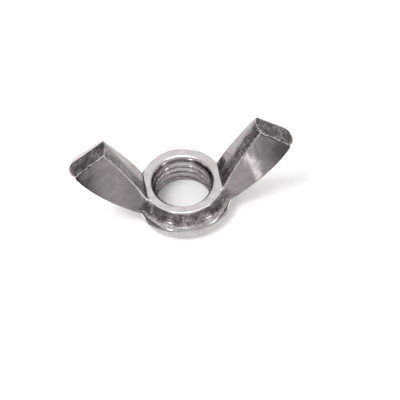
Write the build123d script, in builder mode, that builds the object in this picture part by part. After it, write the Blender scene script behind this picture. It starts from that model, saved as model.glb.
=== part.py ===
from build123d import *
from build123d.topology import SkipClean

import math
import os

# Wing nut, cold forged in one piece: a round threaded hub with two upswept wings.
# Millimetres, +Z up along the thread axis, the wings along +X and -X.
# The origin is the centre of the hub's bottom face.

# Thread: M10 x 1.25, metric fine, right hand
thread_diameter = 10.0
thread_pitch = 1.25
flank_angle = 30
depth_factor = 1.0825
crest_flat = thread_pitch / 4
root_flat = thread_pitch / 8
countersink_diameter = 9.8
mouth_diameter = 10.3
mouth_depth = 0.3
lead_in_diameter = 9.7
lead_in_depth = 1.1
quarter_turns = (20, 110, 200, 290)
groove_overlap = 0.15
sleeve_margin = 0.5

# Hub
hub_height = 5.9
girth_diameter = 16.2
girth_height = 2.15
top_face_diameter = 13.3
bottom_face_diameter = 13.8
neck_diameter = 13.7
neck_bottom = 4.1
throat_diameter = 15.0
throat_height = 3.05
rim_round = 0.25

# Wings
span = 37.0
overall_height = 18.2
root_gap = 12.2
root_top_height = 5.8
tip_gap = 24.2
tip_low_height = 12.8
tip_corner_round = 1.1
ridge_round = 0.25
skin_offset = 3.0
root_inset = 0.3
face_edge_reach = 1.0

# The wing's outline in the XZ plane, at mid thickness and near its two faces
crown_inner_edge = [(7.8, 9.3), (9.6, 13.2)]
crown_outer_bow = (13.2, 6.15)
skin_inner_edge = [(7.5, 9.3), (9.8, 12.9)]
skin_outer_bow = (12.65, 6.63)
skin_tip_top = (13.8, 16.7)
skin_tip_low = (16.6, 14.3)
skin_heel = (7.6, 2.1)

# The wing's half thickness at three distances from the thread axis
plan_root_x = 4.0
plan_waist_x = 10.5
plan_tip_x = 20.0
bottom_half_thickness = (3.3, 2.65, 2.2)
top_half_thickness = (2.8, 1.75, 2.5)
plan_top_height = overall_height + 1

# Sizes that follow from these
thread_radius = thread_diameter / 2
minor_radius = (thread_diameter - depth_factor * thread_pitch) / 2
countersink_radius = countersink_diameter / 2
mouth_radius = mouth_diameter / 2
mouth_height = hub_height - mouth_depth
lead_in_radius = lead_in_diameter / 2
lead_in_height = mouth_height - mouth_radius + lead_in_radius
sleeve_radius = (thread_radius + mouth_radius) / 2
girth_radius = girth_diameter / 2
top_face_radius = top_face_diameter / 2
bottom_face_radius = bottom_face_diameter / 2
neck_radius = neck_diameter / 2
throat_radius = throat_diameter / 2
flank_slope = math.tan(math.radians(flank_angle))
overrun = 3 * thread_pitch
inside = root_gap / 2 - 2 * root_inset


def turned(profile):
    """A solid turned about Z from the corners of its half section."""
    with BuildPart() as solid:
        with BuildSketch(Plane.XZ):
            with BuildLine():
                Polyline(*profile, close=True)
            make_face()
        revolve(axis=Axis.Z)
    return solid.part


def hub_blank():
    """The hub turned about Z, still solid: dished top, steep neck, hollow throat, round flange."""
    with BuildPart() as blank:
        with BuildSketch(Plane.XZ):
            with BuildLine():
                base = Line((0, 0), (bottom_face_radius, 0))
                girth = (girth_radius, girth_height)
                heel = TangentArc(girth, base @ 1, tangent=(0, -1))
                shoulder = TangentArc(girth, (throat_radius, throat_height), tangent=(0, 1))
                throat = TangentArc(shoulder @ 1, (neck_radius, neck_bottom), tangent=shoulder % 1)
                Polyline(
                    throat @ 1,
                    (top_face_radius, hub_height),
                    (mouth_radius, mouth_height),
                    (0, mouth_height),
                    base @ 0,
                )
            make_face()
        revolve(axis=Axis.Z)
        rim = blank.edges().filter_by(GeomType.CIRCLE).sort_by(Axis.Z)[-1]
        fillet(rim, radius=rim_round)
    return blank.part


def wing_outline(offset, inner_edge, top, low, outer_bow, heel):
    """One outline of the wing, on a plane parallel to XZ."""
    with BuildSketch(Plane.XZ.offset(offset)) as outline:
        with BuildLine():
            inner = Spline((root_gap / 2, root_top_height), *inner_edge, top)
            tip = Line(inner @ 1, low)
            outer = ThreePointArc(tip @ 1, outer_bow, heel)
            Polyline(outer @ 1, (inside, girth_height), (inside, hub_height - root_inset), inner @ 0)
        make_face()
    return outline.sketch


def wing_plan(height, root, waist, tip):
    """The wing's thickness at one height: two hollow arcs, given as half thicknesses."""
    with BuildSketch(Plane.XY.offset(height)) as plan:
        with BuildLine():
            front = ThreePointArc((plan_root_x, -root), (plan_waist_x, -waist), (plan_tip_x, -tip))
            end = Line(front @ 1, (plan_tip_x, tip))
            back = ThreePointArc(end @ 1, (plan_waist_x, waist), (plan_root_x, root))
            Line(back @ 1, front @ 0)
        make_face()
    return plan.sketch


def thread_groove():
    """The helical groove between the threads, longer than the hub at both ends."""
    start = (0, 0, -overrun / 2)
    inner = minor_radius - groove_overlap
    inner_half = (thread_pitch - crest_flat) / 2 + groove_overlap * flank_slope
    root_half = root_flat / 2
    with BuildPart() as groove:
        with BuildLine():
            Helix(pitch=thread_pitch, height=hub_height + overrun, radius=minor_radius, center=start)
        with BuildSketch(Plane(origin=start, x_dir=(1, 0, 0), z_dir=(0, -1, 0))):
            with BuildLine():
                Polyline(
                    (inner, -inner_half),
                    (thread_radius, -root_half),
                    (thread_radius, root_half),
                    (inner, inner_half),
                    close=True,
                )
            make_face()
        sweep(is_frenet=True)
    return groove.part


def thread_ring():
    """The ring of metal that the thread is cut into, longer than the hub at both ends."""
    with BuildPart() as ring:
        with BuildSketch(Plane.XZ):
            with BuildLine():
                Polyline(
                    (minor_radius, -overrun),
                    (sleeve_radius, -overrun),
                    (sleeve_radius, hub_height + overrun),
                    (minor_radius, hub_height + overrun),
                    close=True,
                )
            make_face()
        revolve(axis=Axis.Z)
    return ring.part


def sleeve_keep():
    """Half section of the metal that the sleeve keeps, clear of the mouth, lead-in and countersink."""
    inner = minor_radius - sleeve_margin
    lead_in_fall = lead_in_depth * (lead_in_radius - inner) / (lead_in_radius - minor_radius)
    outer = sleeve_radius + sleeve_margin
    return [
        (inner, countersink_radius - inner),
        (countersink_radius, 0),
        (outer, 0),
        (outer, hub_height),
        (mouth_radius, mouth_height),
        (lead_in_radius, lead_in_height),
        (inner, lead_in_height - lead_in_fall),
    ]


def countersunk_hole():
    """Half section of the hole that the sleeve lines, with its chamfered mouth."""
    return [
        (0, 0),
        (sleeve_radius, 0),
        (sleeve_radius, mouth_height - mouth_radius + sleeve_radius),
        (mouth_radius, mouth_height),
        (0, hub_height),
    ]


# One wing, hollowed on both faces
with BuildPart() as dish:
    loft(
        [wing_plan(0, *bottom_half_thickness), wing_plan(plan_top_height, *top_half_thickness)],
        ruled=True,
    )

with BuildPart() as wing:
    skin = (skin_inner_edge, skin_tip_top, skin_tip_low, skin_outer_bow, skin_heel)
    crown = (
        crown_inner_edge,
        (tip_gap / 2, overall_height),
        (span / 2, tip_low_height),
        crown_outer_bow,
        (girth_radius - root_inset, girth_height),
    )
    loft([
        wing_outline(-skin_offset, *skin),
        wing_outline(0, *crown),
        wing_outline(skin_offset, *skin),
    ])
    add(dish.part, mode=Mode.INTERSECT)
    fillet(wing.edges().sort_by(Axis.X)[-1], radius=tip_corner_round)
    outboard = wing.edges().filter_by(lambda e: e.center().X > girth_radius)
    face_edges = outboard.filter_by(lambda e: abs(e.center().Y) > face_edge_reach)
    fillet(face_edges, radius=ridge_round)

# The threaded sleeve of metal inside the hub, countersunk at both ends
with BuildPart() as sleeve:
    add(thread_ring())
    add(thread_groove(), mode=Mode.SUBTRACT)
    add(turned(sleeve_keep()), mode=Mode.INTERSECT)


def sleeve_quarter(turn):
    """A quarter of the sleeve, starting at an angle about Z in degrees."""
    with BuildPart() as quarter:
        add(sleeve.part)
        with Locations(Location((0, 0, hub_height / 2), (0, 0, turn))):
            Box(
                2 * sleeve_radius,
                2 * sleeve_radius,
                2 * hub_height,
                align=(Align.MIN, Align.MIN, Align.CENTER),
                mode=Mode.INTERSECT,
            )
    return quarter.part


# The nut: hub and both wings in one blank, then the hole and its thread.
# The sleeve goes in as quarters whose seams stay, so that each crest face is a short arc.
with BuildPart() as wing_nut:
    add(hub_blank())
    add(wing.part)
    mirror(wing.part, about=Plane.YZ)
    add(turned(countersunk_hole()), mode=Mode.SUBTRACT)
    with SkipClean():
        for turn in quarter_turns:
            add(sleeve_quarter(turn))

os.makedirs("parts", exist_ok=True)
wing_nut.part.label = "wing_nut"
export_step(wing_nut.part, "parts/wing_nut.step")
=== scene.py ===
import math

import bmesh
import bpy
import numpy as np
from mathutils import Matrix, Vector, noise


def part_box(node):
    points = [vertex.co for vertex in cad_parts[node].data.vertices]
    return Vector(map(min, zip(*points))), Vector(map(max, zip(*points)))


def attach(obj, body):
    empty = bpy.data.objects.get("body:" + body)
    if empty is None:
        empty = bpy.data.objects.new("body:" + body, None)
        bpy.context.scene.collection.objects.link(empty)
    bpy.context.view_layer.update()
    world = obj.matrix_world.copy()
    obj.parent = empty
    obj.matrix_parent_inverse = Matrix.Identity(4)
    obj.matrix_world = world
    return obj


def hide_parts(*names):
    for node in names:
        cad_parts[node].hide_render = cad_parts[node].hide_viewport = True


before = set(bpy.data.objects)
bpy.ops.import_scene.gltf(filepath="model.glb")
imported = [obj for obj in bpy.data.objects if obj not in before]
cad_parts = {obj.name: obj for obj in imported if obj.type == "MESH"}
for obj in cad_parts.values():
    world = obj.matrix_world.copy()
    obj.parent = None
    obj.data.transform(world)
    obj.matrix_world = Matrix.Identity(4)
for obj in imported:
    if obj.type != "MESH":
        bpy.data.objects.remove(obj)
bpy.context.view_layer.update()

MM = 0.001
NODE = "wing_nut"
_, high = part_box(NODE)

# Landmarks of the CAD part, millimetres. Places on a wing are given for the +X wing.
HUB_TOP = 5.9
TIP_POINT = np.array((12.1, high.z / MM))
TIP_NORMAL = np.array((0.645, 0.764))
INNER_NORMAL = np.array((-0.86, 0.5))
ROOT_BEAD = (6.2, -2.85, 5.75)
RECESS_CORNER = (13.0, -1.9, 17.2)
# The spot on the throat where its dark skin and painted shade are left off, so the lamps' reflection
# shows there as a glint
GLINT_SPOT = (3.3, -6.3, 3.6)

# Where each mask starts and where it is full. X, radius and height are in millimetres;
# turned means how far a face is turned a certain way, 0 to 1.
WING_X = (6.6, 7.6)
WING_ONLY_X = (8.4, 9.0)
WING_HEIGHT = (4.0, 6.0)
WING_HEIGHT_FALL = 0.55
TIP_DEPTH = (-0.35, -0.12)
TIP_TURNED = (0.5, 0.8)
INNER_X = (6.2, 6.6)
INNER_TURNED = (0.35, 0.7)
FACE_TURNED = (0.6, 0.9)
THROAT_RADIUS = (6.3, 6.6)
THROAT_BOTTOM = (2.6, 3.4)
THROAT_TOP = (5.3, 5.8)
BORE_RADIUS = (5.1, 5.4)
FLANGE_RADIUS = (6.0, 6.6)
FLANGE_TOP = (3.0, 3.6)
COLLAR_RADIUS = (5.9, 6.5)
COLLAR_BOTTOM = (4.0, 5.2)
FRONT_Y = (0.9, -0.6)
# Where the hole's painted shade falls: the thread's grooves, low down and at the sides
GROOVE_RADIUS = (4.42, 4.7)
GROOVE_TOP = (5.2, 5.5)
BORE_SIDE_X = (1.5, 4.2)
BORE_LOW = (1.0, 3.4)
BACK_ROUND_Y = (0.9, 1.4)
BACK_ROUND_DEPTH = (-1.0, -0.4)
BAND_DEPTH = (-0.8, -0.2)

# The dense skin and how far it is softened
VOXEL = 0.12
SOFT_PASSES = 2
SOFT_STEP = 0.6
ROUND_PASSES = 14
ROUND_STEP = 0.8

# The smooth band at the back of each tip face: where it starts on each wing, and how it slopes
BAND_START_RIGHT = 1.25
BAND_START_LEFT = 0.8
BAND_EDGE = (-0.1, 0.15)
BAND_SLOPE = 0.3

# Heights of the forging's lumps, millimetres
GRAIN_SIZE = 0.42
PATCH_SIZE = 1.6
STREAK_SIZE = 0.9
STREAK_STRETCH = (1, 1, 0.45)
TIP_LUMPS = 0.035
INNER_GRAIN = 0.03
INNER_STREAKS = 0.05
THROAT_GRAIN = 0.03
THROAT_PATCHES = 0.05
FACE_WAVES = 0.035
FLANGE_WAVES = 0.02
COLLAR_WAVES = 0.12
BEAD_HEIGHT = 0.3

# Curvature, in millimetres of bulge at one voxel, that counts as an edge, which gets a painted
# highlight, or a hollow, which gets painted shade
CURVATURE = (0.004, 0.02)

# How dark each wing is made: the tips' dark forging skin, and on the inner bands the rough skin with
# painted shade
RIGHT_TIP_STAIN = 1.15
LEFT_TIP_STAIN = 1.3
RIGHT_INNER_STAIN_AND_SHADE = 1.2
LEFT_INNER_STAIN_AND_SHADE = 0.75

# Colours
CLEAN_STEEL = (0.67, 0.637, 0.634, 1)
DULL_STEEL = (0.60, 0.563, 0.558, 1)
# Dark colour for the forging skin and for painted shade on the inner bands, throat, hollows and in the
# hole
STAIN_AND_SHADE = (0.10, 0.078, 0.075, 1)
# Pale colour for the painted highlight along convex edges
PAINTED_EDGE_HIGHLIGHT = (0.9, 0.88, 0.86, 1)
PALE_FLOOR = (0.92, 0.92, 0.93)
DARK_CARD = (0.03, 0.03, 0.03)
TABLE_TINT = (1.0, 0.94, 0.95)
CARD_TINT = (1.0, 0.98, 0.97)
WORLD_COLOUR = (1.0, 0.99, 0.985, 1)

# The stage, millimetres
FLOOR = 1500
TABLE_REACH = 60
TABLE_FRONT = -4.2
TABLE_HEIGHT = 0.05

# Upright or lying ring cards: two (radius, height) edges, two bearings in degrees, brightness.
# The dark ones come first and have no brightness.
RING_CARDS = [
    ("left_card", (300, 0), (300, 140), 130, 215, None),
    ("right_card", (300, 0), (300, 110), -25, 75, None),
    ("front_low_card", (320, 0), (320, 200), 215, 335, 0.62),
    ("front_sky_card", (320, 200), (210, 330), 215, 335, 0.7),
    ("left_lamp", (310, 50), (310, 150), 228, 238, 6.0),
    ("right_lamp", (310, 40), (310, 140), 316, 326, 6.0),
    ("back_table", (5.5, 0.03), (60, 0.03), 20, 160, 0.75),
    ("front_table", (7.2, 0.03), (60, 0.03), 215, 325, 0.9),
]

# Brightness of the glowing sheet under each wing, by distance along X: the table's shade painted into
# the metal's reflection
LEFT_TABLE_SHADE = [(-16.2, 0.06), (-14.6, 0.14), (-13.7, 0.34), (-11.5, 0.46), (-8.5, 0.34)]
RIGHT_TABLE_SHADE = [(9.5, 0.52), (12.5, 0.46), (15.2, 0.36), (16.8, 0.13)]
TABLE_START = 7.2

# A bright strip lying on the table under the right wing: a painted bright streak in the metal's
# reflection of the table
RIGHT_STREAK = [(13.3, -15.5, 0.1), (14.3, -15.5, 0.1), (14.1, -6.8, 0.1), (13.3, -6.8, 0.1)]
ZENITH_LAMP = [(-130, -130, 400), (-130, 60, 400), (130, 60, 400), (130, -130, 400)]
KEY_PLACE = (-220, -60, 430)
KEY_AIM = (0, 0, 5)
KEY_SIZE = 260
KEY_POWER = 1.4

# The camera looks at the middle of the hub's top: degrees and millimetres
CAMERA_TURN = 7.56
CAMERA_RISE = 53.05
CAMERA_ROLL = 2.37
CAMERA_REACH = 350
CAMERA_LENS = 193.5
CAMERA_SHIFT = (0.0439, -0.0495)


def smoothstep(lo, hi, v):
    """0 at lo and 1 at hi, with a soft S between."""
    t = np.clip((v - lo) / (hi - lo), 0, 1)
    return t * t * (3 - 2 * t)


def noise_at(points, scale, seed, stretch=(1, 1, 1)):
    """Perlin noise in -1..1 at each point, one bump every `scale` millimetres."""
    k = np.array(stretch) / scale
    shift = np.array((17.3, 5.1, 9.7)) * seed
    return np.array([noise.noise(Vector(p)) for p in points * k + shift])


def fractal_at(points, scale, seed, octaves=3, stretch=(1, 1, 1)):
    total = np.zeros(len(points))
    weight = 1.0
    for i in range(octaves):
        total += weight * noise_at(points, scale / 2 ** i, seed + i, stretch)
        weight *= 0.5
    return total


def coords(mesh):
    co = np.zeros(len(mesh.vertices) * 3)
    mesh.vertices.foreach_get("co", co)
    return co.reshape(-1, 3)


def normals(mesh):
    n = np.zeros(len(mesh.vertices) * 3)
    mesh.vertices.foreach_get("normal", n)
    return n.reshape(-1, 3)


def set_coords(mesh, co):
    mesh.vertices.foreach_set("co", co.astype(np.float32).ravel())
    mesh.update()


def neighbour_mean(mesh):
    """Function that averages a per-vertex array over each vertex's neighbours."""
    e = np.zeros(len(mesh.edges) * 2, np.int64)
    mesh.edges.foreach_get("vertices", e)
    a, b = e[0::2], e[1::2]
    n = len(mesh.vertices)
    count = np.bincount(a, minlength=n) + np.bincount(b, minlength=n)

    def mean(values):
        if values.ndim == 1:
            s = np.bincount(a, values[b], n) + np.bincount(b, values[a], n)
            return s / count
        return np.stack([mean(values[:, i]) for i in range(values.shape[1])], 1)

    return mean


def cad_skin():
    """A dense even mesh over the CAD node's surface, in millimetres."""
    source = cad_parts[NODE].data.copy()
    bm = bmesh.new()
    bm.from_mesh(source)
    bmesh.ops.remove_doubles(bm, verts=bm.verts, dist=1e-7)
    bmesh.ops.scale(bm, vec=(1 / MM,) * 3, verts=bm.verts)
    bm.to_mesh(source)
    bm.free()
    obj = bpy.data.objects.new("forged_nut", source)
    bpy.context.scene.collection.objects.link(obj)
    voxels = obj.modifiers.new("Voxels", "REMESH")
    voxels.mode = "VOXEL"
    voxels.voxel_size = VOXEL
    dg = bpy.context.evaluated_depsgraph_get()
    mesh = bpy.data.meshes.new_from_object(obj.evaluated_get(dg))
    obj.modifiers.clear()
    obj.data = mesh
    return obj


def on_wing(co, right, left):
    """One value for the wing at +X and another for the wing at -X."""
    return np.where(co[:, 0] > 0, right, left)


def band_start(co):
    """Where along Y the smooth band at the back of each tip face begins."""
    return on_wing(co, BAND_START_RIGHT, BAND_START_LEFT)


def beyond_tip(co):
    """Height of each point over the plane of its wing's tip face."""
    return (np.stack((np.abs(co[:, 0]), co[:, 2]), 1) - TIP_POINT) @ TIP_NORMAL


def facing(co, n, direction):
    """How far each point faces an (outward, upward) direction."""
    return n[:, 0] * np.sign(co[:, 0]) * direction[0] + n[:, 2] * direction[1]


def zones(co, n):
    """Masks over the nut's areas, each 0 to 1 per vertex."""
    x, y, z = co.T
    ax = np.abs(x)
    r = np.hypot(x, y)
    wing = smoothstep(*WING_X, ax) * smoothstep(*WING_HEIGHT, z + WING_HEIGHT_FALL * (ax - 6))
    wing = np.maximum(wing, smoothstep(*WING_ONLY_X, ax))
    hub = 1 - wing
    tip = smoothstep(*TIP_DEPTH, beyond_tip(co)) * smoothstep(*TIP_TURNED, facing(co, n, TIP_NORMAL))
    start = band_start(co)
    tip = tip - tip * smoothstep(start + BAND_EDGE[0], start + BAND_EDGE[1], y)
    inner = smoothstep(*INNER_TURNED, facing(co, n, INNER_NORMAL)) * smoothstep(*INNER_X, ax) * (1 - tip)
    face = smoothstep(*FACE_TURNED, np.abs(n[:, 1])) * wing
    throat = hub * smoothstep(*THROAT_RADIUS, r) * smoothstep(*THROAT_BOTTOM, z)
    throat = throat * (1 - smoothstep(*THROAT_TOP, z))
    bore = 1 - smoothstep(*BORE_RADIUS, r)
    flange = hub * (1 - smoothstep(*FLANGE_TOP, z)) * smoothstep(*FLANGE_RADIUS, r)
    collar = hub * smoothstep(*COLLAR_BOTTOM, z) * smoothstep(*COLLAR_RADIUS, r)
    return dict(tip=tip, inner=inner, face=face, throat=throat, bore=bore, flange=flange, collar=collar)


def near(co, place, reach):
    """1 at a place on either wing's side, falling to 0 at a distance."""
    x, y, z = place
    d = np.sqrt((np.abs(co[:, 0]) - x) ** 2 + (co[:, 1] - y) ** 2 + (co[:, 2] - z) ** 2)
    return 1 - smoothstep(0, reach, d)


def rounding(co):
    """Where the forging dies left broad rounds: the tips' back edges and the recess corners."""
    back_tip = smoothstep(*BACK_ROUND_Y, co[:, 1]) * smoothstep(*BACK_ROUND_DEPTH, beyond_tip(co))
    return np.maximum(back_tip, near(co, RECESS_CORNER, 1.3))


def fall_of_tip(co):
    """How far the tip faces fall away towards their back edges."""
    past = np.clip(co[:, 1] - band_start(co), 0, 2)
    drop = BAND_SLOPE * past * smoothstep(*BAND_DEPTH, beyond_tip(co))
    return np.stack((TIP_NORMAL[0] * np.sign(co[:, 0]) * drop, 0 * drop, TIP_NORMAL[1] * drop), 1)


def softened(co, mean):
    """The skin with its sharp edges eased, and its tips sloped at the back."""
    for _ in range(SOFT_PASSES):
        co = co + SOFT_STEP * (mean(co) - co)
    soft = rounding(co)
    for _ in range(ROUND_PASSES):
        co = co + (ROUND_STEP * soft)[:, None] * (mean(co) - co)
    return co - fall_of_tip(co)


def front_half(co):
    """1 on the nut's front half, falling to 0 behind the middle."""
    return smoothstep(*FRONT_Y, co[:, 1])


def lumps(co, zone):
    """How far each point of the skin is raised by the waviness and grain of the forging."""
    grain = fractal_at(co, GRAIN_SIZE, 1, 2)
    patch = fractal_at(co, PATCH_SIZE, 4, 2)
    streak = fractal_at(co, STREAK_SIZE, 12, 2, STREAK_STRETCH)
    wave = noise_at(co, 4.5, 8) + 0.4 * noise_at(co, 2.2, 9)
    collar_wave = noise_at(co * (1, 1, 0), 3.0, 15) - 0.2
    return (
        zone["tip"] * TIP_LUMPS * (grain + patch)
        + zone["inner"] * front_half(co) * (INNER_GRAIN * grain + INNER_STREAKS * streak)
        + zone["throat"] * (THROAT_GRAIN * grain + THROAT_PATCHES * patch)
        + zone["face"] * FACE_WAVES * wave
        + zone["flange"] * FLANGE_WAVES * wave
        + zone["collar"] * COLLAR_WAVES * collar_wave
        + BEAD_HEIGHT * near(co, ROOT_BEAD, 0.6)
    )


def skin_stain_and_shade(co, zone):
    """Where the dark forging skin is left on the tips, and where rough skin with painted shade darkens
    the inner bands and the throat, except at one spot on the throat.
    """
    tip = on_wing(co, RIGHT_TIP_STAIN, LEFT_TIP_STAIN) * zone["tip"]
    inner = on_wing(co, RIGHT_INNER_STAIN_AND_SHADE, LEFT_INNER_STAIN_AND_SHADE) * zone["inner"] * front_half(co)
    return tip + inner + zone["throat"] * (1 - near(co, GLINT_SPOT, 1.0))


def hole_shade(co, zone):
    """Painted shade in the hole: darker in the thread's grooves, low down and at the sides, most on the
    left side.
    """
    x, y, z = co.T
    groove = smoothstep(*GROOVE_RADIUS, np.hypot(x, y)) * (1 - smoothstep(*GROOVE_TOP, z))
    beside = smoothstep(*BORE_SIDE_X, np.abs(x)) * on_wing(co, 1.0, 1.4)
    low_down = 1 - smoothstep(*BORE_LOW, z)
    return zone["bore"] * np.clip(0.1 + 0.5 * beside + 0.75 * groove + 0.3 * low_down, 0, 1.3)


def forge(obj):
    """Turns the dense mesh into a forging, and marks it for the material."""
    mesh = obj.data
    mean = neighbour_mean(mesh)
    co = softened(coords(mesh), mean)
    set_coords(mesh, co)
    n = normals(mesh)
    zone = zones(co, n)
    curve = mean(mean(-np.einsum("ij,ij->i", mean(co) - co, n)))
    marks = {
        # dark forging skin on the tips, rough skin with painted shade on the inner bands and throat
        "skin_and_shade_zone": skin_stain_and_shade(co, zone),
        # convex edges: painted highlight
        "edge_highlight_zone": smoothstep(*CURVATURE, curve),
        # concave hollows: painted shade
        "hollow_shade_zone": smoothstep(*CURVATURE, -curve),
        # the hole: painted shade
        "bore_shade_zone": hole_shade(co, zone),
    }
    set_coords(mesh, co + n * lumps(co, zone)[:, None])
    for name, values in marks.items():
        mark = mesh.attributes.new(name, "FLOAT", "POINT")
        mark.data.foreach_set("value", values.astype(np.float32))
    mesh.transform(Matrix.Scale(MM, 4))
    mesh.shade_smooth()
    mesh.update()


class Nodes:
    """Short-hand for building a material's node tree."""

    def __init__(self, name):
        self.material = bpy.data.materials.new(name)
        self.material.use_nodes = True
        self.tree = self.material.node_tree
        self.tree.nodes.clear()

    def add(self, kind, inputs=None, **settings):
        node = self.tree.nodes.new(kind)
        for k, v in settings.items():
            setattr(node, k, v)
        for k, v in (inputs or {}).items():
            if isinstance(v, bpy.types.NodeSocket):
                self.tree.links.new(v, node.inputs[k])
            else:
                node.inputs[k].default_value = v
        return node

    def math(self, op, a, b):
        return self.add("ShaderNodeMath", {0: a, 1: b}, operation=op).outputs[0]

    def times(self, a, b):
        return self.math("MULTIPLY", a, b)

    def finished(self, shader):
        self.add("ShaderNodeOutputMaterial", {"Surface": shader.outputs[0]})
        return self.material

    def attribute(self, name):
        return self.add("ShaderNodeAttribute", attribute_name=name).outputs["Fac"]

    def ramp(self, value, stops):
        node = self.add("ShaderNodeValToRGB", {"Fac": value})
        els = node.color_ramp.elements
        while len(els) < len(stops):
            els.new(0.5)
        for el, (pos, colour) in zip(els, stops):
            el.position = pos
            el.color = (*colour, 1)
        return node.outputs["Color"]

    def noise(self, vector, scale, detail=3.0):
        node = self.add("ShaderNodeTexNoise", {"Vector": vector, "Scale": scale, "Detail": detail})
        return node.outputs["Fac"]

    def mix(self, fac, a, b):
        node = self.add("ShaderNodeMix", data_type="RGBA")
        for key, v in ((0, fac), (6, a), (7, b)):
            if isinstance(v, bpy.types.NodeSocket):
                self.tree.links.new(v, node.inputs[key])
            else:
                node.inputs[key].default_value = v
        return node.outputs[2]


def steel():
    """Polished steel with dark forging skin, painted shade on the inner bands, throat, hollows and in
    the hole, and painted highlights along its edges.
    """
    m = Nodes("tumbled_steel")
    position = m.add("ShaderNodeTexCoord").outputs["Object"]
    skin_and_shade_zone = m.attribute("skin_and_shade_zone")
    edge_highlight_zone = m.attribute("edge_highlight_zone")
    hollow_shade_zone = m.attribute("hollow_shade_zone")
    bore_shade_zone = m.attribute("bore_shade_zone")

    # noise scales are per metre
    blotch = m.noise(position, 700, 4)
    speck = m.noise(position, 3200, 3)
    fine = m.noise(position, 5000, 2)
    grime = m.ramp(blotch, [(0.38, (0, 0, 0)), (0.62, (1, 1, 1))])
    specks = m.ramp(speck, [(0.44, (0, 0, 0)), (0.58, (1, 1, 1))])

    # Darkening on the tips from their dark forging skin, and on the inner bands and throat from rough
    # skin with painted shade
    mottle = m.math("ADD", m.times(grime, 0.35), m.times(specks, 0.35))
    dark = m.times(skin_and_shade_zone, m.math("ADD", mottle, 0.38))
    # Painted shade: concave hollows darkened
    dark = m.math("ADD", dark, m.times(hollow_shade_zone, 0.35))
    # Painted shade in the hole
    hole_shade_amount = m.math("ADD", m.times(specks, 0.25), 0.6)
    dark = m.math("ADD", dark, m.times(bore_shade_zone, hole_shade_amount))
    dark = m.math("MINIMUM", dark, 0.96)

    # The dark colour covers both the forging skin and the painted shade
    colour = m.mix(dark, m.mix(grime, CLEAN_STEEL, DULL_STEEL), STAIN_AND_SHADE)
    # Painted highlight: convex edges lightened toward a pale colour
    colour = m.mix(m.times(edge_highlight_zone, 0.7), colour, PAINTED_EDGE_HIGHLIGHT)

    roughness = m.math("ADD", m.times(blotch, 0.10), 0.08)
    roughness = m.math("ADD", roughness, m.times(skin_and_shade_zone, 0.12))
    roughness = m.math("ADD", roughness, m.times(bore_shade_zone, 0.05))

    grain = m.add("ShaderNodeBump", {"Height": fine, "Strength": 0.10, "Distance": 0.00003})
    pits = m.add("ShaderNodeBump", {
        "Height": m.times(specks, skin_and_shade_zone),
        "Strength": 0.6,
        "Distance": 0.00006,
        "Normal": grain.outputs[0],
    })
    shader = m.add("ShaderNodeBsdfPrincipled", {
        "Base Color": colour,
        "Metallic": 1.0,
        "Roughness": roughness,
        "Normal": pits.outputs[0],
    })
    return m.finished(shader)


def matt(name, colour):
    """A plain dull surface."""
    m = Nodes(name)
    shader = m.add("ShaderNodeBsdfPrincipled", {
        "Base Color": (*colour, 1),
        "Roughness": 0.9,
        "Specular IOR Level": 0.2,
    })
    return m.finished(shader)


def tinted(light, tint):
    return tuple(light * t for t in tint)


def shine(name, light):
    """An even glow of one brightness."""
    m = Nodes(name)
    colour = (*tinted(light, CARD_TINT), 1)
    return m.finished(m.add("ShaderNodeEmission", {"Color": colour, "Strength": 1.0}))


def table_glow(name, stops):
    """A glow whose brightness changes along X, from (x, brightness) stops."""
    m = Nodes(name)
    position = m.add("ShaderNodeTexCoord").outputs["Object"]
    x = m.add("ShaderNodeSeparateXYZ", {0: position}).outputs["X"]
    wobble = m.times(m.math("SUBTRACT", m.noise(position, 260, 2), 0.5), 0.004)
    first, last = stops[0][0], stops[-1][0]
    along = m.add("ShaderNodeMapRange", {
        "Value": m.math("ADD", x, wobble),
        "From Min": first * MM,
        "From Max": last * MM,
    })
    colour = m.ramp(along.outputs[0], [
        ((at - first) / (last - first), tinted(light, TABLE_TINT)) for at, light in stops
    ])
    return m.finished(m.add("ShaderNodeEmission", {"Color": colour, "Strength": 1.0}))


def sheet(name, corners, faces, material):
    """A piece of the stage, corners in millimetres."""
    mesh = bpy.data.meshes.new(name)
    mesh.from_pydata([tuple(v * MM for v in c) for c in corners], [], faces)
    mesh.materials.append(material)
    obj = bpy.data.objects.new(name, mesh)
    bpy.context.scene.collection.objects.link(obj)
    return obj


def panel(name, corners, material):
    """A flat four-cornered sheet."""
    return sheet(name, corners, [(0, 1, 2, 3)], material)


def only_reflected(obj):
    """Leaves a card for the polished metal to mirror, and for nothing else."""
    obj.visible_camera = False
    obj.visible_diffuse = False
    obj.visible_shadow = False


def ring_card(name, low_edge, high_edge, start, end, material, steps=48):
    """Part of a ring round the nut, between two (radius, height) edges and two bearings in degrees."""
    corners = []
    for i in range(steps + 1):
        a = math.radians(start + (end - start) * i / steps)
        for radius, height in (low_edge, high_edge):
            corners.append((radius * math.cos(a), radius * math.sin(a), height))
    faces = [(2 * i, 2 * i + 1, 2 * i + 3, 2 * i + 2) for i in range(steps)]
    only_reflected(sheet(name, corners, faces, material))


def table_card(name, x0, x1, stops):
    """A glowing sheet just over the table under one wing, seen only by the polished metal: the table's
    shade painted into its reflection.
    """
    outline = [(x0, -TABLE_REACH), (x1, -TABLE_REACH), (x1, TABLE_FRONT), (x0, TABLE_FRONT)]
    corners = [(x, y, TABLE_HEIGHT) for x, y in outline]
    only_reflected(panel(name, corners, table_glow(name, stops)))


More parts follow.
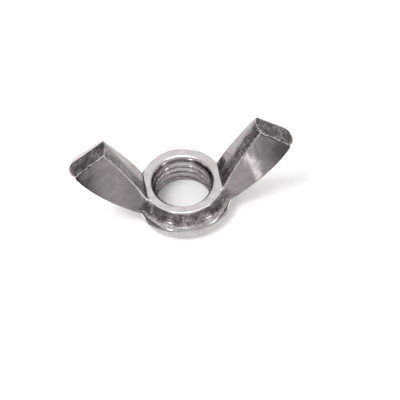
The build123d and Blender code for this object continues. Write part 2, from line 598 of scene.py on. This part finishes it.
def build_stage():
    floor = [(-FLOOR, -FLOOR, 0), (FLOOR, -FLOOR, 0), (FLOOR, FLOOR, 0), (-FLOOR, FLOOR, 0)]
    panel("floor", floor, matt("pale_floor", PALE_FLOOR))
    dark = matt("dark_card", DARK_CARD)
    for name, low_edge, high_edge, start, end, light in RING_CARDS:
        material = dark if light is None else shine(name, light)
        ring_card(name, low_edge, high_edge, start, end, material)
    # Glowing sheets with the table's shade painted into the metal's reflection
    table_card("left_painted_table", -TABLE_REACH, -TABLE_START, LEFT_TABLE_SHADE)
    table_card("right_painted_table", TABLE_START, TABLE_REACH, RIGHT_TABLE_SHADE)
    # Painted bright streak in the metal's reflection of the table
    only_reflected(panel("right_streak", RIGHT_STREAK, shine("right_streak", 1.3)))
    only_reflected(panel("zenith_lamp", ZENITH_LAMP, shine("zenith_lamp", 3.0)))


def build_lights():
    """Soft even surroundings and one large lamp, which the metal does not mirror."""
    world = bpy.data.worlds.new("studio")
    bpy.context.scene.world = world
    world.use_nodes = True
    sky = world.node_tree.nodes["Background"].inputs
    sky["Color"].default_value = WORLD_COLOUR
    sky["Strength"].default_value = 1.0

    data = bpy.data.lights.new("key", "AREA")
    data.shape = "DISK"
    data.size = KEY_SIZE * MM
    data.energy = KEY_POWER
    key = bpy.data.objects.new("key", data)
    bpy.context.scene.collection.objects.link(key)
    place, aim = Vector(KEY_PLACE) * MM, Vector(KEY_AIM) * MM
    key.location = place
    key.rotation_mode = "QUATERNION"
    key.rotation_quaternion = (aim - place).to_track_quat("-Z", "Y")
    key.visible_glossy = False
    bpy.context.scene.view_settings.view_transform = "Standard"


def make_camera():
    turn, rise, roll = (math.radians(a) for a in (CAMERA_TURN, CAMERA_RISE, CAMERA_ROLL))
    back = Vector((-math.sin(turn) * math.cos(rise), -math.cos(turn) * math.cos(rise), math.sin(rise)))
    right = Vector((math.cos(turn), -math.sin(turn), 0))
    up = back.cross(right)
    rolled_right = math.cos(roll) * right - math.sin(roll) * up
    rolled_up = math.sin(roll) * right + math.cos(roll) * up
    data = bpy.data.cameras.new("camera")
    data.lens = CAMERA_LENS
    data.sensor_width = 36
    data.shift_x, data.shift_y = CAMERA_SHIFT
    data.clip_start = 0.01
    data.clip_end = 10
    camera = bpy.data.objects.new("camera", data)
    bpy.context.scene.collection.objects.link(camera)
    pose = Matrix((rolled_right, rolled_up, back)).transposed().to_4x4()
    pose.translation = Vector((0, 0, HUB_TOP)) * MM + back * CAMERA_REACH * MM
    camera.matrix_world = pose
    bpy.context.scene.camera = camera


nut = cad_skin()
forge(nut)
nut.data.materials.clear()
nut.data.materials.append(steel())
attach(nut, "root")
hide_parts(NODE)

build_stage()
build_lights()
make_camera()
